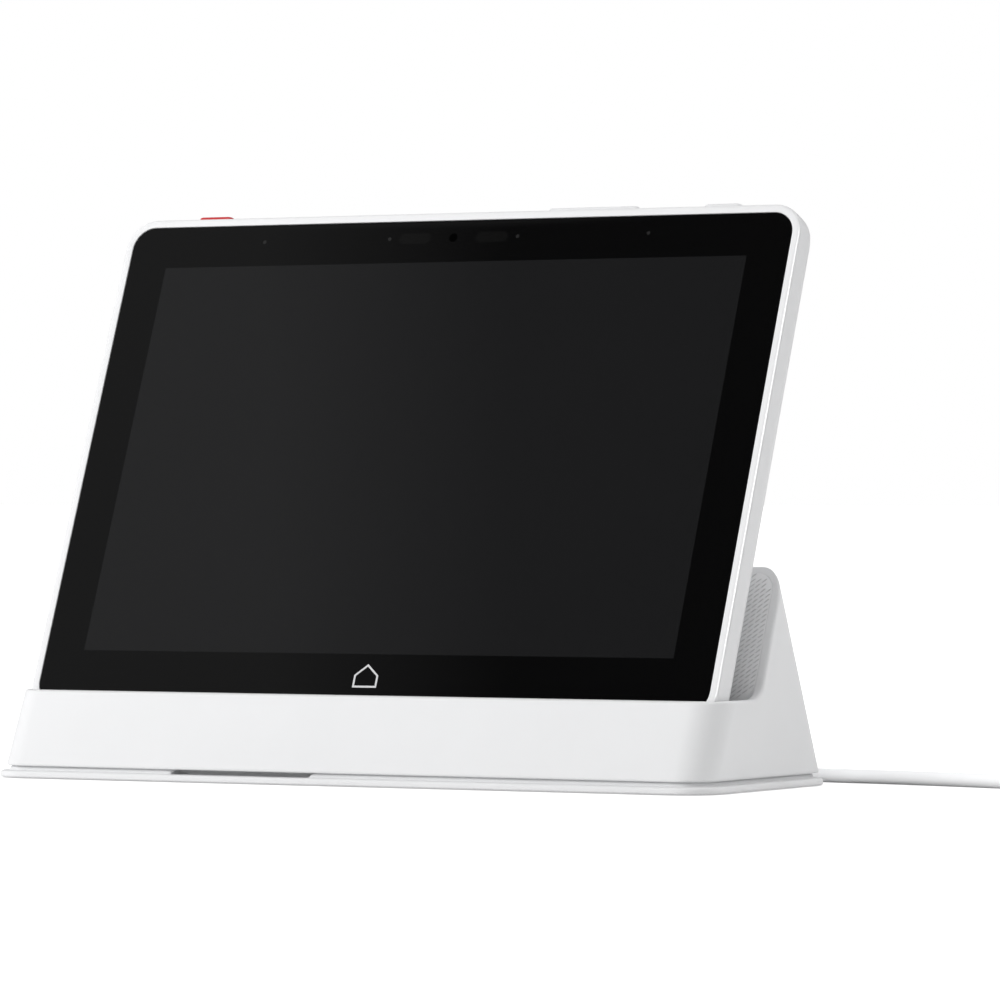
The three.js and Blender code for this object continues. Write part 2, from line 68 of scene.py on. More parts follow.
# Display
TILT = math.radians(21.5)
FOOT = Vector((0, -23.75, 17.2))           # bottom edge of the display's front face
WIDTH, HEIGHT, DEPTH = 200.2, 138.5, 16.8
CORNER = 8.3
SPLIT, SEAM = 6.4, 0.04                    # depth of the joint round the side, and half its gap
FRONT_ROUND = 0.8
REAR_START = 4.8                           # depth at which the side starts to curve in
REAR_ROUND, SHOULDER_ROUND = 6.2, 8
REAR_SLOPE = math.radians(30)
WALL = 2.1
GLASS_INSET = 2.35
GLASS_FRONT, GLASS_BACK = 0.1, 1.1
GLASS_GAP = 0.1
GLASS_LEDGE = 4                            # inset of the ledge that the glass lies on
PICTURE = (172.3, 107.7)
PICTURE_CENTRE = 70.6
SENSOR_ROW = 131.3
CAMERA_RADIUS = 1.2
WINDOW_AT, WINDOW_HALF, WINDOW_RADIUS = 11.4, 3.2, 1.45
STATUS_LIGHT_AT, MICROPHONE_AT, DOT_RADIUS = 19, 57, 0.5
KEY_DEPTH, KEY_WIDTH, KEY_GAP = 3.9, 2.8, 0.18
KEYS = {"alarm_button": (-75.7, 10.4), "volume_rocker": (38, 26.4), "power_button": (75.2, 10.6)}
KEY_BOTTOM = 135.2
KEY_TOP = HEIGHT + 1.65
CONTACT_DEPTH = 4.2
CONTACTS = (-7.5, -2.5, 2.5, 7.5)
SPEAKER = (68, 100)                        # middle of the slots in front of a speaker, as (u, h)
VENT_COUNT, VENT_PITCH, VENT_LENGTH, VENT_WIDTH = 5, 3.2, 20, 1.4
VENT_DEPTH, MESH_THICKNESS = 1.3, 0.4
REAR_SCREWS = [(-74, 26), (74, 26), (-74, 113), (74, 113)]
SCREW_HEAD, SCREW_HOLE = 4, 4.6            # diameters
SCREW_SUNK, SCREW_HEAD_HEIGHT, SCREW_HOLE_DEPTH = 0.3, 0.9, 1.3

# Dock
DOCK_LOW, DOCK_HIGH = box_mm("dock_shell")
HALF_WIDTH, HALF_DEPTH = DOCK_HIGH[0], DOCK_HIGH[1]
DOCK_BOTTOM, DOCK_TOP = DOCK_LOW[2], DOCK_HIGH[2]
DOCK_CORNER, REAR_CORNER = 8.5, 7          # upright corners, at the front and at the rear
TOP_CORNER = 6
TOP_ROUND, TOP_ROUND_FADE = 1.2, 6         # edge round the top, and the height over which it runs out
RIM_EDGE, POCKET_EDGE, FOOT_EDGE, PORT_EDGE, CONTACT_EDGE = 0.6, 0.45, 0.45, 0.5, 0.2
RIM, RIM_FILLET = 22.5, 3.6                # top of the rim round the display, and the fillet behind it
LEAN = 0.46                                # how far front and back lean in, per unit of height
POCKET_HALF, POCKET_FRONT, POCKET_BACK, POCKET_FLOOR, POCKET_CORNER = 100.6, -0.4, 17.1, -0.4, 8
CONTACT_WINDOW = (13, 1.8, 1.7)            # half length, half width and corner
CONTACT_WINDOW_DEPTH = 6.5
PORT_HEIGHT, PORT_FRONT = 9.7, 25.4
PORT = (6.45, 3.65, 2.6)                   # half width, half height and corner
LINER_WIDTH, LINER_BOTTOM, LINER_TOP, LINER_CORNER, LINER_RECESS = 200.6, 12.7, 45.4, 4.4, 1.2
LINER_MIDDLE, LINER_HALF = (LINER_TOP + LINER_BOTTOM) / 2, (LINER_TOP - LINER_BOTTOM) / 2
BASE_LOW, BASE_HIGH = box_mm("base_plate")
PLINTH_INSET, PLINTH_TOP, PLINTH_FILLET = 1.2, 2.9, 0.7
FLANGE_TOP, FLANGE_ROUND = 1.95, 0.8
UNDERSIDE_INSET = 5.7
UNDERSIDE = 1                              # height of the hollow under the base plate
INTO_SHELL = (1.8, 1.5)                    # inset and lowest point of the part that reaches into the shell
NOTCH, NOTCH_DEPTH = (-50, -9), 5          # opening in the plinth's front, from left to right
NOTCH_LEAN = 1.2                           # how far its ends lean in, per unit of height
PAD_INSET, PAD_TOP = 6, 0.7

# Cable
CABLE_RADIUS = 1.75
PLUG_FRONT, PLUG_BACK = 29.4, 44.4
FAR_PLUG = (194, 16, 4)
FAR_PLUG_TURN = math.radians(-27)

FINE = 0.5          # spacing of the surface grid for moulded bodies

# ------------------------------------------------------------------ meshes


def mesh_object(name, points, faces, smooth=True):
    """An object from points in millimetres and faces of any size."""
    mesh = bpy.data.meshes.new(name)
    sizes = np.array([len(face) for face in faces], np.int32)
    starts = np.concatenate(([0], np.cumsum(sizes)[:-1])).astype(np.int32)
    corners = np.concatenate([np.asarray(face) for face in faces]).astype(np.int32)
    mesh.vertices.add(len(points))
    mesh.vertices.foreach_set("co", (np.asarray(points, float) * MM).astype(np.float32).ravel())
    mesh.loops.add(len(corners))
    mesh.loops.foreach_set("vertex_index", corners)
    mesh.polygons.add(len(faces))
    mesh.polygons.foreach_set("loop_start", starts)
    mesh.polygons.foreach_set("loop_total", sizes)
    mesh.polygons.foreach_set("use_smooth", np.full(len(faces), smooth))
    mesh.update(calc_edges=True)
    mesh.validate()
    obj = bpy.data.objects.new(name, mesh)
    bpy.context.scene.collection.objects.link(obj)
    return obj


def rounded_outline(width, height, radius, centre=(0, 0), steps=14):
    """Corner points of a rounded rectangle, anticlockwise."""
    points = []
    for corner, (sx, sy) in enumerate([(1, 1), (-1, 1), (-1, -1), (1, -1)]):
        for i in range(steps + 1):
            angle = (corner + i / steps) * math.pi / 2
            x = centre[0] + sx * (width / 2 - radius) + radius * math.cos(angle)
            y = centre[1] + sy * (height / 2 - radius) + radius * math.sin(angle)
            points.append((x, y))
    return points


def rectangle(width, height, corner, centre=(0, 0), shrink=1, steps=14):
    """Outline function of a rounded rectangle; shrink is what the corner radius loses per unit of inset."""
    def outline(inset):
        across, up = width - 2 * inset, height - 2 * inset
        return rounded_outline(across, up, corner - shrink * inset, centre, steps)
    return outline


def stadium(x, y, length, width, steps=8):
    """Outline function of a bar with round ends, centred at (x, y)."""
    def outline(inset):
        span, across = length - 2 * inset, width - 2 * inset
        return rounded_outline(span, across, across / 2 - CRISP, (x, y), steps)
    return outline


def skin(rings, closed=False):
    """Faces over rings of equal point counts; open stacks get a cap at each end."""
    count = len(rings[0])
    points = [p for ring in rings for p in ring]
    faces = []
    for r in range(len(rings) if closed else len(rings) - 1):
        first, second = r * count, (r + 1) % len(rings) * count
        for i in range(count):
            j = (i + 1) % count
            faces.append((first + i, first + j, second + j, second + i))
    if not closed:
        faces.append(tuple(reversed(range(count))))
        faces.append(tuple(range(len(points) - count, len(points))))
    return points, faces


def tilt_back(obj):
    """Turns a mesh drawn in the display's own axes into the part's axes."""
    turn = Matrix.Translation(FOOT * MM) @ Matrix.Rotation(-TILT, 4, "X")
    obj.data.transform(turn)
    return obj


def display_rings(profile, growth=0.0):
    """The display's outline at each (inset, depth) of a profile, as points (u, d, h).
    growth widens the corners as the side moves in; without it they shrink by the inset."""
    rings = []
    for inset, depth in profile:
        corner = CORNER + growth * inset if growth else CORNER - inset
        outline = rounded_outline(WIDTH - 2 * inset, HEIGHT - 2 * inset, corner, (0, HEIGHT / 2))
        rings.append([(u, depth, h) for u, h in outline])
    return rings


def rounded_end(start, radius, steps=4):
    """(inset, height) pairs of a rounded edge, from the flat end at start out to the straight side."""
    angles = [math.pi / 2 * i / steps for i in range(steps + 1)]
    return [(radius * (1 - math.sin(a)), start + radius * (1 - math.cos(a))) for a in angles]


def round_ends(bottom, top, radius, ends="both"):
    """(inset, height) pairs of a straight side with both ends or only the top end rounded."""
    low = rounded_end(bottom, radius)
    high = [(inset, top + bottom - height) for inset, height in reversed(low)]
    if ends == "top":
        return [(0, bottom)] + high
    return low + high


def pillow(name, outline, bottom, top, radius=CRISP, ends="both"):
    """A body raised along z from an outline function of the inset, with its end edges rounded."""
    rings = []
    for inset, height in round_ends(bottom, top, radius, ends):
        rings.append([(x, y, height) for x, y in outline(inset)])
    return mesh_object(name, *skin(rings))


def turn_to_depth(obj):
    """Turns a mesh raised along z into one raised along the depth axis."""
    obj.data.transform(Matrix(((1, 0, 0, 0), (0, 0, 1, 0), (0, 1, 0, 0), (0, 0, 0, 1))))
    obj.data.flip_normals()
    return obj


def pillow_in_depth(name, outline, front, back, radius=CRISP):
    """A pillow raised along the depth axis, from an outline in (u, h)."""
    return turn_to_depth(pillow(name, outline, front, back, radius))


def subtract(obj, cutters):
    """Cuts each cutter out of obj and removes it."""
    for cutter in cutters:
        modifier = obj.modifiers.new("cut", "BOOLEAN")
        modifier.operation = "DIFFERENCE"
        modifier.solver = "EXACT"
        modifier.object = cutter
    graph = bpy.context.evaluated_depsgraph_get()
    result = bpy.data.meshes.new_from_object(obj.evaluated_get(graph))
    obj.modifiers.clear()
    obj.data = result
    for cutter in cutters:
        bpy.data.objects.remove(cutter)
    return obj


def sharpen(obj, degrees=32):
    """Smooth shading that stops at real edges."""
    obj.data.set_sharp_from_angle(angle=math.radians(degrees))
    return obj


# ------------------------------------------------------------------ moulded bodies as distance fields


def both(a, b, radius=0.0):
    """Where two solids overlap, with the shared edge rounded. Negative values are inside."""
    if np.isscalar(radius) and radius == 0:
        return np.maximum(a, b)
    rounded = np.hypot(np.maximum(a + radius, 0), np.maximum(b + radius, 0)) - radius
    return np.minimum(np.maximum(a, b), -radius) + np.maximum(rounded + radius, 0)


def without(a, b, radius=0.0):
    """Solid a with solid b taken out, the edge rounded."""
    return both(a, -b, radius)


def joined(a, b, radius):
    """Two solids as one, with a fillet where they meet."""
    return -both(-a, -b, radius)


def rounded_box_2d(a, b, radius):
    """Distance to a rounded corner region, given the distances to its two straight sides."""
    outside = np.hypot(np.maximum(a + radius, 0), np.maximum(b + radius, 0))
    return outside + np.minimum(np.maximum(a, b) + radius, 0) - radius


def surface(field, low, high, step):
    """Points and quads of the surface where a distance field is zero."""
    axes = [np.arange(lo, hi + step, step) for lo, hi in zip(low, high)]
    grid = np.meshgrid(*axes, indexing="ij", sparse=True)
    values = field(*grid) + np.zeros([len(a) for a in axes])
    inside = values < 0
    cells = np.array(inside.shape) - 1
    spots, quads, flips = [], [], []
    for axis in range(3):
        lower = [slice(None)] * 3
        upper = [slice(None)] * 3
        lower[axis] = slice(None, -1)
        upper[axis] = slice(1, None)
        crossing = inside[tuple(lower)] != inside[tuple(upper)]
        where = np.argwhere(crossing)
        start = values[tuple(lower)][crossing]
        end = values[tuple(upper)][crossing]
        position = where.astype(float)
        position[:, axis] += start / (start - end)
        second, third = (axis + 1) % 3, (axis + 2) % 3
        corners = []
        for db, dc in ((-1, -1), (0, -1), (0, 0), (-1, 0)):
            cell = where.copy()
            cell[:, second] += db
            cell[:, third] += dc
            corners.append(np.ravel_multi_index(cell.T, cells, mode="clip"))
        spots.append(position)
        quads.append(np.stack(corners, 1))
        flips.append(start > 0)
    spots, quads, flips = np.concatenate(spots), np.concatenate(quads), np.concatenate(flips)
    used, index = np.unique(quads, return_inverse=True)
    index = index.reshape(quads.shape)
    total = np.bincount(index.ravel(), minlength=len(used))
    points = np.stack([
        np.bincount(index.ravel(), np.repeat(spots[:, c], 4), minlength=len(used)) / total for c in range(3)
    ], 1)
    points = points * step + np.array(low)
    index[flips] = index[flips][:, ::-1]
    return settle(field, points, step), index


def settle(field, points, step):
    """Moves points onto the zero surface of the field."""
    reach = 0.02
    for _ in range(4):
        value = field(*points.T)
        slope = np.stack([
            (field(*(points + offset).T) - field(*(points - offset).T)) / (2 * reach)
            for offset in np.eye(3) * reach
        ], 1)
        move = -value[:, None] * slope / np.maximum((slope ** 2).sum(1), 0.05)[:, None]
        length = np.linalg.norm(move, axis=1, keepdims=True)
        points = points + move * np.minimum(1, 0.4 * step / np.maximum(length, 1e-9))
    return points


def moulded(name, field, low, high):
    """The smooth skin of a distance field that fits in the box from low to high."""
    off_grid = 0.013                           # keeps flat faces from falling on grid points
    points, quads = surface(field, np.array(low) - 2 * FINE + off_grid, np.array(high) + 2 * FINE, FINE)
    return mesh_object(name, points, list(quads))


def cradle_axes(y, z):
    """Depth and height in the display's own axes."""
    dy, dz = y - FOOT.y, z - FOOT.z
    return dy * math.cos(TILT) - dz * math.sin(TILT), dy * math.sin(TILT) + dz * math.cos(TILT)


def footprint(x, y, inset):
    """The dock's outline on the table, moved in by inset."""
    side, end = np.abs(x) - HALF_WIDTH + inset, np.abs(y) - HALF_DEPTH + inset
    return rounded_box_2d(side, end, DOCK_CORNER - inset)


def cradle_field(x, y, z):
    """The openings for the display, the backrest panel and the contacts, with the rounding of each edge."""
    depth, height = cradle_axes(y, z)
    half_pocket = (POCKET_BACK - POCKET_FRONT) / 2
    front_view = rounded_box_2d(np.abs(x) - POCKET_HALF, POCKET_FLOOR - height, POCKET_CORNER)
    pocket = both(front_view, np.abs(depth - POCKET_FRONT - half_pocket) - half_pocket, RIM_EDGE)
    liner_view = rounded_box_2d(
        np.abs(x) - LINER_WIDTH / 2, np.abs(height - LINER_MIDDLE) - LINER_HALF, LINER_CORNER
    )
    recess = both(liner_view, np.abs(depth - POCKET_BACK) - LINER_RECESS)
    half_length, half_width, corner = CONTACT_WINDOW
    window = rounded_box_2d(np.abs(x) - half_length, np.abs(depth - CONTACT_DEPTH) - half_width, corner)
    window = both(both(window, -CONTACT_WINDOW_DEPTH - height), height - 1)
    return (pocket, POCKET_EDGE), (recess, 0), (window, CONTACT_EDGE)


def dock_field(x, y, z):
    """The dock's shell: a leaning wedge with a rim and a backrest, open for the display and the plug."""
    half_depth = HALF_DEPTH - LEAN * (z - DOCK_BOTTOM)
    across = (np.abs(y) - half_depth) * math.cos(math.atan(LEAN))
    wedge = rounded_box_2d(np.abs(x) - HALF_WIDTH, across, np.where(y > 0, REAR_CORNER, DOCK_CORNER))
    front_view = rounded_box_2d(np.abs(x) - HALF_WIDTH, z - DOCK_TOP, TOP_CORNER)
    above_fade = z - DOCK_TOP + TOP_CORNER + 2
    edge_round = TOP_ROUND * np.clip(above_fade / TOP_ROUND_FADE, 0.001, 1)
    body = both(wedge, front_view, edge_round)
    depth, _ = cradle_axes(y, z)
    above_rim = both(RIM - z, depth - POCKET_BACK, RIM_FILLET)
    body = without(body, above_rim, RIM_EDGE)
    body = both(body, DOCK_BOTTOM - z, FOOT_EDGE)
    for opening, edge in cradle_field(x, y, z):
        body = without(body, opening, edge)
    port = rounded_box_2d(np.abs(x) - PORT[0], np.abs(z - PORT_HEIGHT) - PORT[1], PORT[2])
    return without(body, both(port, PORT_FRONT - y), PORT_EDGE)


def base_field(x, y, z):
    """The base plate: a thin flange, a set-back plinth with a notch in front, and a hollow underside."""
    flange = both(footprint(x, y, HALF_DEPTH - BASE_HIGH[1]), z - FLANGE_TOP, FLANGE_ROUND)
    flange = both(flange, BASE_LOW[2] - z, 0.3)
    plinth = both(both(footprint(x, y, PLINTH_INSET), z - PLINTH_TOP, 0.2), UNDERSIDE - z)
    body = joined(flange, plinth, PLINTH_FILLET)
    into_shell = both(footprint(x, y, INTO_SHELL[0]), z - BASE_HIGH[2], 0.3)
    body = np.minimum(body, both(into_shell, INTO_SHELL[1] - z))
    lean = NOTCH_LEAN * (z - FLANGE_TOP)
    notch = both(NOTCH[0] + lean - x, x - NOTCH[1] - lean)
    notch = both(notch, both(y + HALF_DEPTH - NOTCH_DEPTH, FLANGE_TOP + 0.02 - z))
    body = without(body, notch, 0.2)
    return without(body, both(footprint(x, y, UNDERSIDE_INSET), z - UNDERSIDE), 0.2)


# ------------------------------------------------------------------ materials


class Nodes:
    """Short hand for building a material's node tree."""

    def __init__(self, name):
        self.material = bpy.data.materials.new(name)
        self.material.use_nodes = True
        self.tree = self.material.node_tree
        self.shader = self.tree.nodes["Principled BSDF"]

    def add(self, kind, **settings):
        node = self.tree.nodes.new(kind)
        for key, value in settings.items():
            setattr(node, key, value)
        return node

    def link(self, source, target):
        self.tree.links.new(source, target)

    def noise(self, scale, detail):
        node = self.add("ShaderNodeTexNoise")
        node.inputs["Scale"].default_value = scale
        node.inputs["Detail"].default_value = detail
        self.link(self.add("ShaderNodeTexCoord").outputs["Object"], node.inputs["Vector"])
        return node.outputs["Fac"]

    def spread(self, source, low, high, start=0.3, end=0.7):
        """Maps a value between start and end onto low to high."""
        node = self.add("ShaderNodeMapRange")
        for key, value in zip(("From Min", "From Max", "To Min", "To Max"), (start, end, low, high)):
            node.inputs[key].default_value = value
        self.link(source, node.inputs["Value"])
        return node.outputs["Result"]

    def blend(self, factor, first, second):
        """Mixes two colours, given as sockets or as (r, g, b)."""
        node = self.add("ShaderNodeMix", data_type="RGBA")
        for socket, value in ((node.inputs[6], first), (node.inputs[7], second)):
            if isinstance(value, (tuple, list)):
                socket.default_value = (*value, 1)
            else:
                self.link(value, socket)
        self.link(factor, node.inputs[0])
        return node.outputs[2]

    def math(self, operation, first, second=0.0):
        """The result of a sum on sockets or plain numbers."""
        node = self.add("ShaderNodeMath", operation=operation)
        for socket, value in zip(node.inputs, (first, second)):
            if isinstance(value, (int, float)):
                socket.default_value = value
            else:
                self.link(value, socket)
        return node.outputs[0]

    def bump(self, height, strength, distance):
        node = self.add("ShaderNodeBump")
        node.inputs["Strength"].default_value = strength
        node.inputs["Distance"].default_value = distance
        self.link(height, node.inputs["Height"])
        return node.outputs["Normal"]

    def colour(self, source):
        self.link(source, self.shader.inputs["Base Color"])

    def roughness(self, source):
        self.link(source, self.shader.inputs["Roughness"])

    def surface(self, source):
        self.link(source, self.shader.inputs["Normal"])

    def set(self, **values):
        for key, value in values.items():
            self.shader.inputs[key.replace("_", " ")].default_value = value


def plastic(name, colour, roughness, grain=0.12, grain_size=0.00022, variation=0.02, edge_highlight=0.02):
    """Moulded plastic: fine grain, faint mottling, and a painted highlight that lightens sharp edges."""
    n = Nodes(name)
    dark = tuple(c * (1 - variation) for c in colour)
    tint = n.blend(n.spread(n.noise(scale=38, detail=3), 0, 1), dark, colour)
    # Painted highlight: sharp edges, found by pointiness, get a lighter colour, standing in for light caught
    # on small rounds.
    highlight_edges = n.spread(n.add("ShaderNodeNewGeometry").outputs["Pointiness"], 0, 1, start=0.51, end=0.6)
    light = tuple(min(1, c * (1 + edge_highlight)) for c in colour)
    n.colour(n.blend(highlight_edges, tint, light))
    n.roughness(n.spread(n.noise(scale=95, detail=4), roughness - 0.05, roughness + 0.05))
    fine = n.noise(scale=1 / grain_size, detail=1)
    n.surface(n.bump(fine, strength=grain, distance=grain_size * 0.3))
    return n.material


INK = (0.0012, 0.0012, 0.0013)
PANEL = ((0.0090, 0.0091, 0.0096), (0.0099, 0.0100, 0.0105))
SENSOR_WINDOW, DOT, LENS = (0.0034,) * 3, (0.018,) * 3, (0.0002,) * 3
EDGE_BLUR = 0.1                            # half width of the soft edge of anything printed on the glass


def glass_black():
    """Cover glass: black ink round the edge, the switched-off panel seen through the middle, and the places
    left clear in the ink for the camera, the sensors, the status lights and the microphones."""
    n = Nodes("cover_glass_black")
    place = n.add("ShaderNodeSeparateXYZ")
    n.link(n.add("ShaderNodeUVMap", uv_map="place").outputs["UV"], place.inputs["Vector"])
    u, h = place.outputs["X"], place.outputs["Y"]

    def within(distance, limit):
        return n.spread(distance, 1, 0, limit - EDGE_BLUR, limit + EDGE_BLUR)

    def from_middle(along, middle):
        return n.math("ABSOLUTE", n.math("SUBTRACT", along, middle))

    def spot(centre, half_length, radius):
        """1 inside a bar with round ends, on both sides of the middle, at the sensors' height."""
        beside = from_middle(n.math("ABSOLUTE", u), centre)
        beyond = n.math("MAXIMUM", n.math("SUBTRACT", beside, half_length), 0)
        up = n.math("SUBTRACT", h, SENSOR_ROW)
        squares = n.math("ADD", n.math("MULTIPLY", beyond, beyond), n.math("MULTIPLY", up, up))
        return within(n.math("SQRT", squares), radius)

    panel = n.blend(n.spread(n.noise(scale=9, detail=2), 0, 1), *PANEL)
    across = within(from_middle(u, 0), PICTURE[0] / 2)
    upward = within(from_middle(h, PICTURE_CENTRE), PICTURE[1] / 2)
    colour = n.blend(n.math("MULTIPLY", across, upward), INK, panel)
    camera = spot(0, 0, CAMERA_RADIUS)
    openings = [
        (spot(WINDOW_AT, WINDOW_HALF, WINDOW_RADIUS), SENSOR_WINDOW),
        (spot(STATUS_LIGHT_AT, 0, DOT_RADIUS), DOT),
        (spot(MICROPHONE_AT, 0, DOT_RADIUS), DOT),
        (camera, LENS),
    ]
    for mask, tone in openings:
        colour = n.blend(mask, colour, tone)
    n.colour(colour)
    n.link(n.spread(camera, 0.5, 0.12, start=0, end=1), n.shader.inputs["Specular IOR Level"])
    n.roughness(n.spread(n.noise(scale=24, detail=5), 0.035, 0.075))
    n.surface(n.bump(n.noise(scale=14, detail=1), strength=0.02, distance=0.0004))
    n.set(IOR=1.5)
    return n.material


def metal(name, colour, roughness):
    """Drawn metal with fine streaks."""
    n = Nodes(name)
    streaks = n.noise(scale=700, detail=3)
    dark = tuple(c * 0.85 for c in colour)
    n.colour(n.blend(n.spread(streaks, 0, 1), dark, colour))
    n.roughness(n.spread(n.noise(scale=260, detail=4), roughness - 0.07, roughness + 0.07))
    n.surface(n.bump(streaks, strength=0.1, distance=0.0001))
    n.set(Metallic=1.0)
    return n.material


def floor_paper():
    """White paper sweep; the camera sees it a little brighter, as an overexposed studio floor."""
    n = Nodes("floor_paper")
    n.colour(n.blend(n.spread(n.noise(scale=3, detail=3), 0, 1), (0.8, 0.8, 0.8), (0.82, 0.82, 0.82)))
    n.surface(n.bump(n.noise(scale=900, detail=2), strength=0.03, distance=0.0002))
    seen = n.add("ShaderNodeLightPath").outputs["Is Camera Ray"]
    n.link(n.math("MULTIPLY", seen, 0.5), n.shader.inputs["Emission Strength"])
    n.set(Roughness=0.9, Emission_Color=(1, 1, 1, 1))
    return n.material


WHITE = (0.785, 0.788, 0.796)
RED = (0.55, 0.035, 0.04)
# Where a material gives an amount for its edges, that amount lightens its sharp edges: a painted highlight.
MATERIALS = {
    "frame_plastic": plastic("frame_plastic", WHITE, 0.36, grain=0.06, grain_size=0.0003),
    "dock_plastic": plastic("dock_plastic", WHITE, 0.5, grain=0.16),
    "key_plastic": plastic("key_plastic", WHITE, 0.34, grain=0.04),
    "alarm_plastic": plastic("alarm_plastic", RED, 0.38, grain=0.05, variation=0.08, edge_highlight=0.15),
    "cover_glass": glass_black(),
    "screen": plastic("screen", (0.012, 0.012, 0.013), 0.3),
    "mark_ink": plastic("mark_ink", (0.62, 0.62, 0.63), 0.5),
    "liner": plastic("liner", (0.85, 0.852, 0.86), 0.62, grain=0.2),
    # liner_hole colours the faces of the shallow slots darker: painted shade standing in for the depth of the
    # holes.
    "liner_hole": plastic("liner_hole", (0.67, 0.67, 0.68), 0.8),
    "rubber": plastic("rubber", (0.25, 0.25, 0.26), 0.85, grain=0.35, variation=0.15),
    "steel": metal("steel", (0.55, 0.56, 0.58), 0.32),
    "gold_contact": metal("gold_contact", (0.83, 0.62, 0.3), 0.25),
    "circuit_board": plastic("circuit_board", (0.02, 0.12, 0.05), 0.5, variation=0.3),
    "black_plastic": plastic("black_plastic", (0.012, 0.012, 0.013), 0.5, edge_highlight=0.5),
    "battery_wrap": plastic("battery_wrap", (0.03, 0.03, 0.04), 0.45, variation=0.2),
    "cable_jacket": plastic("cable_jacket", (0.84, 0.842, 0.85), 0.5, grain=0.1, grain_size=0.0004),
}


def dress(obj, slot, body, replaced=()):
    """Gives a piece the material of a slot, hangs it on the body it rides on, and hides the CAD nodes it
    stands for.
    """
    obj.data.materials.clear()
    obj.data.materials.append(MATERIALS[slot])
    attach(obj, body)
    if replaced:
        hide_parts(*replaced)


for part in frame["record"]["subparts"]:
    node = frame["nodes"][part["node"]]
    node.data.materials.clear()
    node.data.materials.append(MATERIALS[part["material_slot"]])

# ------------------------------------------------------------------ display


def side_curve(start, end, steps=12):
    """(inset, depth) pairs along the rounded rear edge, between two depths."""
    first, last = (math.asin((depth - REAR_START) / REAR_ROUND) for depth in (start, end))
    angles = [first + (last - first) * i / steps for i in range(steps + 1)]
    return [(REAR_ROUND * (1 - math.cos(a)), REAR_START + REAR_ROUND * math.sin(a)) for a in angles]


def rear_profile(start):
    """(inset, depth) pairs of the rear cover: round edge, slope, round shoulder."""
    slope_start = REAR_START + REAR_ROUND * math.cos(REAR_SLOPE)
    curve = side_curve(start, slope_start)
    slope_depth = DEPTH - slope_start - SHOULDER_ROUND * (1 - math.cos(REAR_SLOPE))
    slope_width = slope_depth / math.tan(REAR_SLOPE)
    flat_inset = curve[-1][0] + slope_width + SHOULDER_ROUND * math.sin(REAR_SLOPE)
    steps = 10
    for i in range(steps + 1):
        angle = REAR_SLOPE * (1 - i / steps)
        inset = flat_inset - SHOULDER_ROUND * math.sin(angle)
        curve.append((inset, DEPTH - SHOULDER_ROUND * (1 - math.cos(angle))))
    return curve


def make_front_frame():
    outer = side_curve(REAR_START, SPLIT - SEAM, 6)
    front = rounded_end(0, FRONT_ROUND, 7)
    lip = GLASS_INSET - GLASS_GAP
    inner = [(lip - 0.2, 0), (lip - 0.06, 0.05), (lip, 0.2), (lip, GLASS_BACK + 0.1),
             (GLASS_LEDGE, GLASS_BACK + 0.2), (GLASS_LEDGE, 2), (WALL, 2.1), (WALL, SPLIT - SEAM)]
    rings = display_rings(outer[::-1] + front[::-1] + inner)
    obj = mesh_object("front_frame_skin", *skin(rings, closed=True))
    cutters = []
    for x, length in KEYS.values():
        hole = stadium(x, KEY_DEPTH, length + 2 * KEY_GAP, KEY_WIDTH + 2 * KEY_GAP)
        cutters.append(pillow("key_hole", hole, HEIGHT - 5, HEIGHT + 2))
    cutters.append(pillow("contact_hole", stadium(0, CONTACT_DEPTH, 26, 3.2), -1, 4))
    sharpen(tilt_back(subtract(obj, cutters)))
    dress(obj, "frame_plastic", "tablet", ["front_frame"])
    return obj


def vent_slots(gap=0):
    """Name and outline of every speaker slot in the rear cover, made smaller by a gap."""
    for side, side_name in ((-1, "left"), (1, "right")):
        for i in range(VENT_COUNT):
            h = SPEAKER[1] + (i - (VENT_COUNT - 1) / 2) * VENT_PITCH
            slot = stadium(side * SPEAKER[0], h, VENT_LENGTH - gap, VENT_WIDTH - gap)
            yield f"{side_name}_{i + 1}", slot


def make_rear_cover():
    start = SPLIT + SEAM
    rings = display_rings([(WALL - 0.1, start)] + rear_profile(start), growth=0.6)
    obj = mesh_object("rear_cover_skin", *skin(rings))
    cutters = []
    for name, slot in vent_slots():
        cutters.append(pillow_in_depth(f"vent_{name}", slot, DEPTH - VENT_DEPTH - 0.2, DEPTH + 1))
    for u, h in REAR_SCREWS:
        hole = stadium(u, h, SCREW_HOLE, SCREW_HOLE)
        cutters.append(pillow_in_depth("screw_hole", hole, DEPTH - SCREW_HOLE_DEPTH, DEPTH + 1))
    sharpen(tilt_back(subtract(obj, cutters)))
    dress(obj, "frame_plastic", "tablet", ["rear_cover"])


def cross_head(name, place, top):
    """A screw head facing the back, with a cross recess; place is (u, h) and top is its depth."""
    outline = stadium(*place, SCREW_HEAD, SCREW_HEAD, 10)
    head = pillow_in_depth(name, outline, top - SCREW_HEAD_HEIGHT, top, 0.2)
    long, short = 0.65 * SCREW_HEAD, 0.15 * SCREW_HEAD
    cutters = []
    for width, height in ((long, short), (short, long)):
        arm = rectangle(width, height, 0.1, place, shrink=0, steps=3)
        cutters.append(pillow_in_depth("recess_arm", arm, top - 0.5, top + 0.5))
    return sharpen(subtract(head, cutters))


def make_rear_details():
    """Screw heads in the rear cover, and the mesh behind the speaker slots."""
    for i, place in enumerate(REAR_SCREWS, 1):
        head = cross_head(f"rear_screw_head_{i}", place, DEPTH - SCREW_SUNK)
        dress(tilt_back(head), "steel", "tablet", [f"rear_screw_{i}"])
    for name, slot in vent_slots(gap=0.04):
        front = DEPTH - VENT_DEPTH - MESH_THICKNESS
        mesh = pillow_in_depth(f"vent_mesh_{name}", slot, front, DEPTH - VENT_DEPTH, 0.05)
        dress(tilt_back(mesh), "black_plastic", "tablet")


def contact_bar(name, width, bottom, top, radius):
    """A bar round the whole row of charging contacts."""
    length = 25.2
    return pillow(name, stadium(0, CONTACT_DEPTH, length, width), bottom, top, radius)


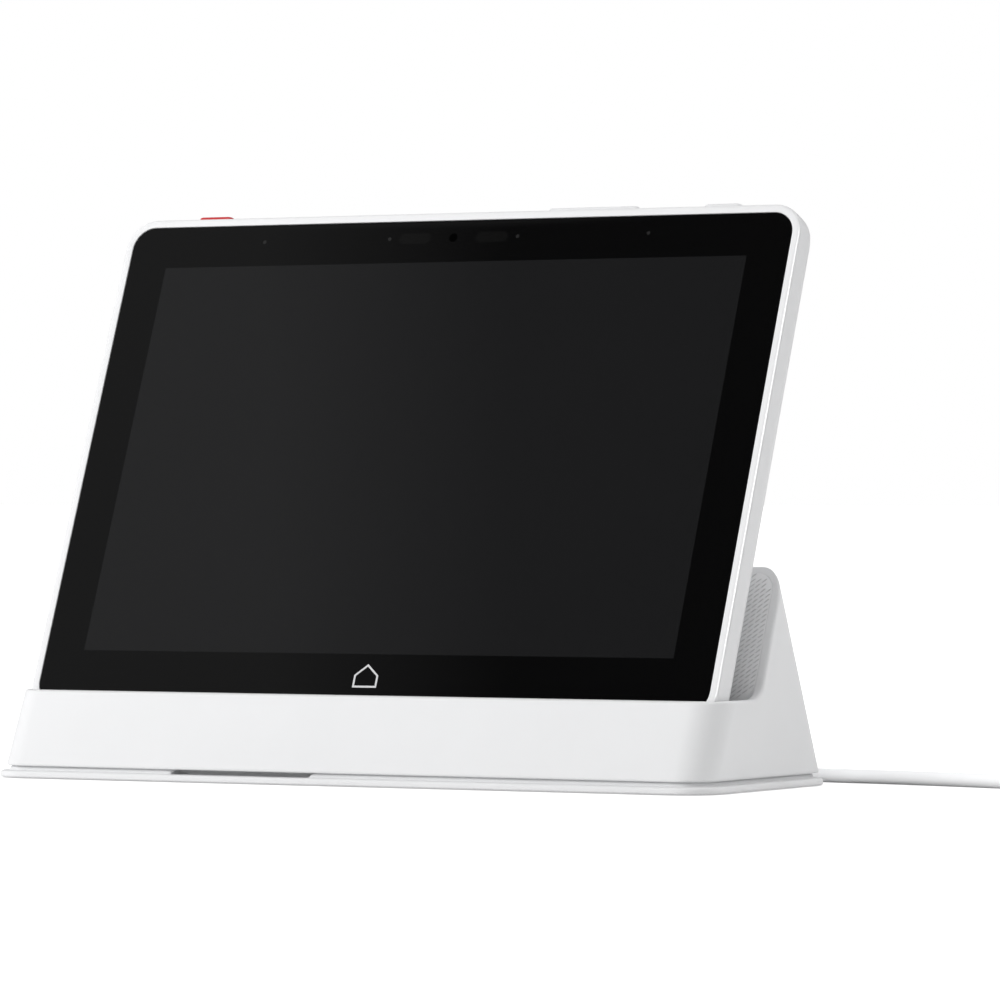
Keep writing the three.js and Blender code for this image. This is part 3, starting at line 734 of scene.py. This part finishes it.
def contact_pin(name, x, diameter, bottom, top, radius=CRISP, ends="both"):
    """A round pin at one of the charging contacts."""
    return pillow(name, stadium(x, CONTACT_DEPTH, diameter, diameter), bottom, top, radius, ends)


def contact_holes(diameter, bottom, top):
    """A cutter for each of the charging contacts."""
    return [contact_pin("contact_hole", x, diameter, bottom, top) for x in CONTACTS]


def make_charge_contacts():
    """Pads in the display's bottom edge, and the sprung pins below them in the cradle's floor."""
    carrier = contact_bar("contact_carrier_skin", width=2.4, bottom=1, top=3.5, radius=0.2)
    carrier = subtract(carrier, contact_holes(diameter=2.2, bottom=0, top=2.2))
    dress(tilt_back(sharpen(carrier)), "black_plastic", "tablet", ["contact_carrier"])
    block = contact_bar("pogo_block_skin", width=2.8, bottom=-6.4, top=POCKET_FLOOR, radius=0.25)
    block = subtract(block, contact_holes(diameter=1.9, bottom=-5.8, top=1))
    dress(tilt_back(sharpen(block)), "black_plastic", "dock", ["pogo_block"])
    for i, x in enumerate(CONTACTS, 1):
        pad = contact_pin(f"charge_pad_face_{i}", x, diameter=1.7, bottom=0.9, top=1.9, radius=0.15)
        dress(tilt_back(sharpen(pad)), "gold_contact", "tablet", [f"charge_pad_{i}"])
        pin = contact_pin(
            f"pogo_pin_tip_{i}", x, diameter=1.3, bottom=-4.5, top=0.6, radius=0.5, ends="top"
        )
        dress(tilt_back(sharpen(pin)), "gold_contact", "pins", [f"pogo_pin_{i}"])


def make_glass():
    """The cover glass, with a map that gives its material every point's place (u, h)."""
    sides = round_ends(GLASS_FRONT, GLASS_BACK, 0.18)
    points, faces = skin(display_rings([(GLASS_INSET + inset, depth) for inset, depth in sides]))
    obj = mesh_object("cover_glass_skin", points, faces)
    layer = obj.data.uv_layers.new(name="place")
    for loop in obj.data.loops:
        u, _, h = points[loop.vertex_index]
        layer.data[loop.index].uv = (u, h)
    sharpen(tilt_back(obj))
    dress(obj, "cover_glass", "tablet", ["cover_glass"])


def make_keys():
    bodies = {"alarm_button": "alarm_key", "volume_rocker": "volume_key", "power_button": "power_key"}
    for name, (x, length) in KEYS.items():
        top_view = stadium(x, KEY_DEPTH, length, KEY_WIDTH, 12)
        obj = pillow(f"{name}_cap", top_view, KEY_BOTTOM, KEY_TOP, 0.5, ends="top")
        slot = "alarm_plastic" if name == "alarm_button" else "key_plastic"
        dress(sharpen(tilt_back(obj)), slot, bodies[name], [name])


# ------------------------------------------------------------------ dock


def make_dock():
    shell = moulded("dock_body", dock_field, DOCK_LOW, DOCK_HIGH)
    dress(shell, "dock_plastic", "dock", ["dock_shell"])
    base = moulded("foot_plate", base_field, BASE_LOW, BASE_HIGH)
    dress(base, "dock_plastic", "dock", ["base_plate"])
    pad = rectangle(2 * (HALF_WIDTH - PAD_INSET), 2 * (HALF_DEPTH - PAD_INSET), DOCK_CORNER - PAD_INSET)
    dress(sharpen(pillow("foot_pad_skin", pad, 0, PAD_TOP, 0.25)), "rubber", "dock", ["foot_pad"])


LAP = 0.25                                 # how far the panel reaches into the edge of its recess
PANEL_HALF = (LINER_WIDTH / 2 + LAP, LINER_HALF + LAP)
SLOT_COLUMNS, SLOT_ROWS = 126, 25
SLOT_LENGTH, SLOT_WIDTH, SLOT_TAPER = 1.95, 0.36, 0.9
PANEL_FRONT, PANEL_SLOT_FLOOR, PANEL_REAR = POCKET_BACK - 0.015, POCKET_BACK + 0.12, POCKET_BACK + 0.9


def inside_panel(point):
    """The nearest point to this one inside the outline of the backrest panel."""
    x, y = (max(-half, min(half, v)) for v, half in zip(point, PANEL_HALF))
    core_x, core_y = (half - LINER_CORNER for half in PANEL_HALF)
    dx, dy = abs(x) - core_x, abs(y) - core_y
    if dx <= 0 or dy <= 0 or math.hypot(dx, dy) <= LINER_CORNER:
        return x, y
    shrink = LINER_CORNER / math.hypot(dx, dy)
    return math.copysign(core_x + dx * shrink, x), math.copysign(core_y + dy * shrink, y)


def slanted_slot(slant):
    """Eight points round a slot of the panel, centred on the origin, starting at its lower left."""
    points = []
    for i in range(8):
        angle = math.pi * (i + 0.5) / 4 - math.pi
        along, across = SLOT_LENGTH / 2 * math.cos(angle), SLOT_WIDTH / 2 * math.sin(angle)
        points.append((along * math.cos(slant) - across * math.sin(slant),
                       along * math.sin(slant) + across * math.cos(slant)))
    return points


class PanelMesh:
    """Points and faces of the backrest panel; pressed tells which faces lie inside a slot."""

    def __init__(self):
        self.points = []
        self.faces = []
        self.pressed = []

    def add_ring(self, flat_points, depth):
        """Adds points of the panel's plane at a depth, and returns their numbers."""
        start = len(self.points)
        for point in flat_points:
            u, h = inside_panel(point)
            self.points.append((u, depth, h + LINER_MIDDLE))
        return range(start, len(self.points))

    def add_face(self, corners, pressed=False):
        self.faces.append(tuple(corners))
        self.pressed.append(pressed)

    def add_tile(self, centre, tile, slot):
        """One tile of the panel, with its slot if all of it fits inside the panel's outline."""
        around, mouth, bottom = (
            [(centre[0] + u * scale, centre[1] + h * scale) for u, h in shape]
            for shape, scale in ((tile, 1), (slot, 1), (slot, SLOT_TAPER))
        )
        edge = self.add_ring(around, PANEL_FRONT)
        if any(inside_panel(point) != point for point in mouth):
            self.add_face(edge)
            return
        mouth = self.add_ring(mouth, PANEL_FRONT)
        bottom = self.add_ring(bottom, PANEL_SLOT_FLOOR)
        for i in range(8):
            j = (i + 1) % 8
            self.add_face((edge[i], edge[j], mouth[j], mouth[i]))
            self.add_face((mouth[i], mouth[j], bottom[j], bottom[i]), pressed=True)
        self.add_face(bottom, pressed=True)

    def add_side(self):
        """The panel's thin side wall."""
        outline = rounded_outline(2 * PANEL_HALF[0], 2 * PANEL_HALF[1], LINER_CORNER)
        front, rear = self.add_ring(outline, PANEL_FRONT), self.add_ring(outline, PANEL_REAR)
        for i in range(len(outline)):
            j = (i + 1) % len(outline)
            self.add_face((rear[i], rear[j], front[j], front[i]))


def make_liner():
    """Panel over the backrest, pressed with slanted slots in diagonal rows; the slots are coloured darker as
    painted shade.
    """
    half_width, half_height = PANEL_HALF
    pitch_u, pitch_h = 2 * half_width / SLOT_COLUMNS, 2 * half_height / SLOT_ROWS
    w, t = pitch_u / 2, pitch_h / 2
    tile = [(-w, 0), (-w, -t), (0, -t), (w, -t), (w, 0), (w, t), (0, t), (-w, t)]
    slot = slanted_slot(math.atan2(pitch_h, pitch_u))
    panel = PanelMesh()
    for row in range(SLOT_ROWS):
        for column in range(SLOT_COLUMNS):
            centre = ((column + 0.5) * pitch_u - half_width, (row + 0.5) * pitch_h - half_height)
            panel.add_tile(centre, tile, slot)
    panel.add_side()
    obj = mesh_object("backrest_grille", panel.points, panel.faces, smooth=False)
    dress(tilt_back(obj), "liner", "dock", ["backrest_panel"])
    # The faces inside the slots take the darker second colour: painted shade.
    obj.data.materials.append(MATERIALS["liner_hole"])
    obj.data.polygons.foreach_set("material_index", np.array(panel.pressed, np.int32))


# ------------------------------------------------------------------ cable


def smooth_path(points):
    """Points along a Catmull-Rom curve through the given ones."""
    path = [Vector(p) for p in points]
    path = [2 * path[0] - path[1]] + path + [2 * path[-1] - path[-2]]
    steps = 14
    result = []
    for a, b, c, d in zip(path, path[1:], path[2:], path[3:]):
        for i in range(steps):
            t = i / steps
            result.append(0.5 * (2 * b + (c - a) * t + (2 * a - 5 * b + 4 * c - d) * t * t
                                 + (3 * b - a - 3 * c + d) * t ** 3))
    result.append(path[-2])
    return result


def tube(name, path, radii):
    """A round skin along a path, with a radius for every point of it."""
    sides = 28
    rings = []
    for i, (point, radius) in enumerate(zip(path, radii)):
        ahead = (path[min(i + 1, len(path) - 1)] - path[max(i - 1, 0)]).normalized()
        across = ahead.cross(Vector((0, 0, 1))).normalized()
        upward = across.cross(ahead)
        ring = []
        for k in range(sides):
            angle = 2 * math.pi * k / sides
            ring.append(tuple(point + radius * (math.cos(angle) * across + math.sin(angle) * upward)))
        rings.append(ring)
    return sharpen(mesh_object(name, *skin(rings)))


def make_cable():
    """The cable, out of the plug, down to the table and along it to the far plug."""
    table = CABLE_RADIUS
    points = [
        (0, 47.9, PORT_HEIGHT), (1.5, 53.4, 8.6), (9, 59.6, 4), (24, 61.5, table + 0.3), (50, 57, table),
        (94.5, 47.6, table), (115, 45.2, table), (143, 39, table), (173, 26.8, table + 0.4), FAR_PLUG,
    ]
    path = smooth_path(points)
    jacket = tube("cable_jacket_skin", path, [CABLE_RADIUS] * len(path))
    dress(jacket, "cable_jacket", "cable", ["power_cable"])
    return jacket


def ribbed_relief(name, start, end, radius, tip_radius):
    """A bend relief between two points, tapering in ribs onto the cable."""
    ribs, rib_depth = 5, 0.14 * radius
    steps = 12 * ribs
    path, radii = [], []
    for i in range(steps + 1):
        t = i / steps
        path.append(Vector(start).lerp(Vector(end), t))
        dip = rib_depth * (0.5 - 0.5 * math.cos(2 * math.pi * ribs * t)) ** 2
        radii.append(radius + (tip_radius - radius) * t - dip)
    return tube(name, path, radii)


def make_plug():
    """The plug in the dock's socket: a moulded body, its bend relief and the metal shell."""
    middle = (0, PORT_HEIGHT)
    body_outline = rectangle(width=12, height=6.4, corner=2.8, centre=middle)
    body = pillow_in_depth("plug_body_skin", body_outline, PLUG_FRONT, PLUG_BACK, 0.9)
    dress(sharpen(body, degrees=40), "cable_jacket", "cable", ["plug_body"])
    start, end = (0, PLUG_BACK - 0.5, PORT_HEIGHT), (0, PLUG_BACK + 3.9, PORT_HEIGHT)
    relief = ribbed_relief("plug_relief", start, end, radius=2.8, tip_radius=2)
    dress(relief, "cable_jacket", "cable")
    shell_outline = rectangle(width=8.25, height=2.4, corner=1.15, centre=middle)
    shell = pillow_in_depth("plug_shell_skin", shell_outline, PLUG_FRONT - 7, PLUG_FRONT + 0.2, 0.2)
    dress(sharpen(shell), "steel", "cable", ["plug_shell"])


def to_far_plug(obj):
    """Moves a mesh to the cable's far end; its x axis points out of the plug there."""
    obj.data.transform(Matrix.Translation(Vector(FAR_PLUG) * MM) @ Matrix.Rotation(FAR_PLUG_TURN, 4, "Z"))
    return obj


def along_far_plug(obj):
    """Lays a mesh raised along z along the far plug."""
    obj.data.transform(Matrix(((0, 0, 1, 0), (1, 0, 0, 0), (0, 1, 0, 0), (0, 0, 0, 1))))
    return to_far_plug(obj)


def far_plug_grip():
    """The moulded grip, with six grooves across it."""
    ends = round_ends(bottom=0.6, top=24, radius=1.4)
    half = len(ends) // 2
    groove = [(0, 0), (0.1, 0.1), (0.32, 0.3), (0.32, 0.6), (0.1, 0.8), (0, 0.9)]
    first_groove, groove_pitch = 8.5, 1.7
    grooves = []
    for i in range(6):
        grooves += [(inset, first_groove + groove_pitch * i + at) for inset, at in groove]
    outline = rectangle(width=16, height=8, corner=3)
    rings = []
    for inset, at in ends[:half] + grooves + ends[half:]:
        rings.append([(x, y, at) for x, y in outline(inset)])
    return mesh_object("far_plug_grip", *skin(rings))


def far_plug_shell():
    """The flat steel shell, with two windows through it."""
    back, front = 24.1, 36.3
    window_back, window_front = 29.4, 31.6
    outside = rectangle(width=12, height=4.5, corner=0.6, shrink=0)
    inside = rectangle(width=11.3, height=3.8, corner=0.3)
    shell = pillow("far_plug_shell_skin", outside, back, front, 0.1)
    cutters = [pillow("shell_inside", inside, back + 0.9, front + 1.7)]
    for x in (-2.6, 2.6):
        window = rectangle(width=2.4, height=9, corner=0.2, centre=(x, 0))
        cutters.append(pillow("shell_window", window, window_back, window_front))
    return subtract(shell, cutters)


def make_far_plug():
    """The plug at the cable's other end: a moulded grip and a flat steel shell with a tongue inside."""
    grip = along_far_plug(far_plug_grip())
    dress(sharpen(grip, degrees=50), "cable_jacket", "cable", ["far_plug_body"])
    relief = ribbed_relief("far_plug_relief", (0.9, 0, 0), (-3.6, 0, 0), radius=3.1, tip_radius=2)
    dress(to_far_plug(relief), "cable_jacket", "cable")
    shell = along_far_plug(sharpen(far_plug_shell()))
    dress(shell, "steel", "cable", ["far_plug_shell"])
    tongue_outline = rectangle(width=11, height=1.7, corner=0.3, centre=(0, 0.95), shrink=0)
    tongue = pillow("far_plug_tongue", tongue_outline, 25.2, 35.6, 0.15)
    dress(along_far_plug(tongue), "black_plastic", "cable")
    for i, x in enumerate((-3.5, -1.1, 1.1, 3.5), 1):
        strip_outline = rectangle(width=1.1, height=0.1, corner=0.04, centre=(x, 0.08))
        strip = pillow(f"far_plug_contact_{i}", strip_outline, 26, 35, 0.02)
        dress(along_far_plug(strip), "gold_contact", "cable")


front_frame = make_front_frame()
make_rear_cover()
make_rear_details()
make_glass()
make_charge_contacts()
make_keys()
make_dock()
make_liner()
cable_jacket = make_cable()
make_plug()
make_far_plug()

# ------------------------------------------------------------------ floor, light and camera


def make_floor():
    half = 60000
    corners = [(-half, -half, 0), (half, -half, 0), (half, half, 0), (-half, half, 0)]
    floor = mesh_object("floor", corners, [(0, 1, 2, 3)])
    floor.data.materials.append(floor_paper())


def make_world():
    """White all round, brighter from behind on the right. Mirror reflections see a dim room, and the camera
    sees an even white backdrop."""
    world = bpy.data.worlds.new("studio")
    world.use_nodes = True
    bpy.context.scene.world = world
    tree = world.node_tree
    background = tree.nodes["Background"]
    direction = tree.nodes.new("ShaderNodeTexCoord").outputs["Generated"]

    def ramp(source, start, end, low, high):
        node = tree.nodes.new("ShaderNodeMapRange")
        for key, value in zip(("From Min", "From Max", "To Min", "To Max"), (start, end, low, high)):
            node.inputs[key].default_value = value
        tree.links.new(source, node.inputs["Value"])
        return node.outputs["Result"]

    def along(axis):
        node = tree.nodes.new("ShaderNodeVectorMath")
        node.operation = "DOT_PRODUCT"
        node.inputs[1].default_value = Vector(axis).normalized()
        tree.links.new(direction, node.inputs[0])
        return node.outputs["Value"]

    def choose(factor, first, second):
        node = tree.nodes.new("ShaderNodeMix")
        for socket, value in ((node.inputs[2], first), (node.inputs[3], second)):
            if isinstance(value, float):
                socket.default_value = value
            else:
                tree.links.new(value, socket)
        tree.links.new(factor, node.inputs[0])
        return node.outputs[0]

    path = tree.nodes.new("ShaderNodeLightPath")
    light = ramp(along(BACK_LIGHT_FROM), 0.35, 0.9, WORLD_LIGHT, BACK_LIGHT)
    mirrored = ramp(along((1, 0, 0)), -0.56, -0.44, MIRRORED_LEFT, MIRRORED_RIGHT)
    lit = choose(path.outputs["Is Glossy Ray"], light, mirrored)
    tree.links.new(choose(path.outputs["Is Camera Ray"], lit, BACKDROP), background.inputs["Strength"])
    background.inputs["Color"].default_value = (1, 1, 1, 1)


def reach_only(light, pieces):
    """Keeps a light from reaching anything but these pieces."""
    receivers = bpy.data.collections.new(f"{light.name}_receivers")
    for piece in pieces:
        receivers.objects.link(piece)
    light.light_linking.receiver_collection = receivers


def area_light(name, place, target, size, power, gleam=False):
    """A soft box; one with gleam only shows as a highlight on glossy surfaces."""
    light = bpy.data.lights.new(name, "AREA")
    light.size = size
    light.energy = power
    obj = bpy.data.objects.new(name, light)
    obj.location = place
    obj.rotation_euler = (Vector(target) - Vector(place)).to_track_quat("-Z", "Y").to_euler()
    obj.visible_glossy = gleam
    obj.visible_diffuse = not gleam
    obj.visible_camera = False
    bpy.context.scene.collection.objects.link(obj)
    return obj


def sun(name, place, power, spread):
    """A far light that shines from the direction of place; spread is its size in degrees."""
    light = bpy.data.lights.new(name, "SUN")
    light.energy = power
    light.angle = math.radians(spread)
    obj = bpy.data.objects.new(name, light)
    obj.rotation_euler = Vector(place).to_track_quat("Z", "Y").to_euler()
    obj.visible_glossy = False
    bpy.context.scene.collection.objects.link(obj)
    return obj


def make_lights():
    """Soft light from the front left and from behind. Two lights more reach only the cable and only the
    front frame."""
    sun("sky_left", place=(-0.45, -0.7, 0.55), power=0.98, spread=40)
    sun("sky_behind", place=(0.3, 0.5, 0.8), power=0.9, spread=60)
    on_cable = sun("cable_light", place=(0.3, -0.65, 0.7), power=1.6, spread=40)
    reach_only(on_cable, [cable_jacket])
    area_light("window_left", place=(-0.55, -0.6, 0.3), target=(0, 0, 0.03), size=0.4, power=3)
    on_frame = area_light(
        "edge_gleam", place=(0.75, -0.75, 0.75), target=(0, 0, 0.08), size=0.5, power=30, gleam=True
    )
    reach_only(on_frame, [front_frame])


def make_camera():
    camera = bpy.data.cameras.new("camera")
    camera.sensor_width = 36
    camera.lens = CAMERA_LENS
    camera.clip_end = 100
    obj = bpy.data.objects.new("camera", camera)
    obj.location = CAMERA_PLACE
    obj.rotation_euler = (math.radians(90), 0, CAMERA_TURN)
    bpy.context.scene.collection.objects.link(obj)
    bpy.context.scene.camera = obj


WORLD_LIGHT, BACK_LIGHT = 0.42, 1.28       # brightness all round, and behind on the right
BACK_LIGHT_FROM = (0.4, 0.9, 0.25)
BACKDROP = 1.0                             # what the camera sees behind the object
MIRRORED_LEFT, MIRRORED_RIGHT = 0.215, 0.04  # what reflections see at the far left, and elsewhere
CAMERA_PLACE = (0.7854, -1.35215, 0.0716)  # in metres
CAMERA_TURN = math.radians(29.27)
CAMERA_LENS = 221

make_floor()
make_world()
make_lights()
make_camera()
bpy.context.scene.view_settings.view_transform = "Standard"
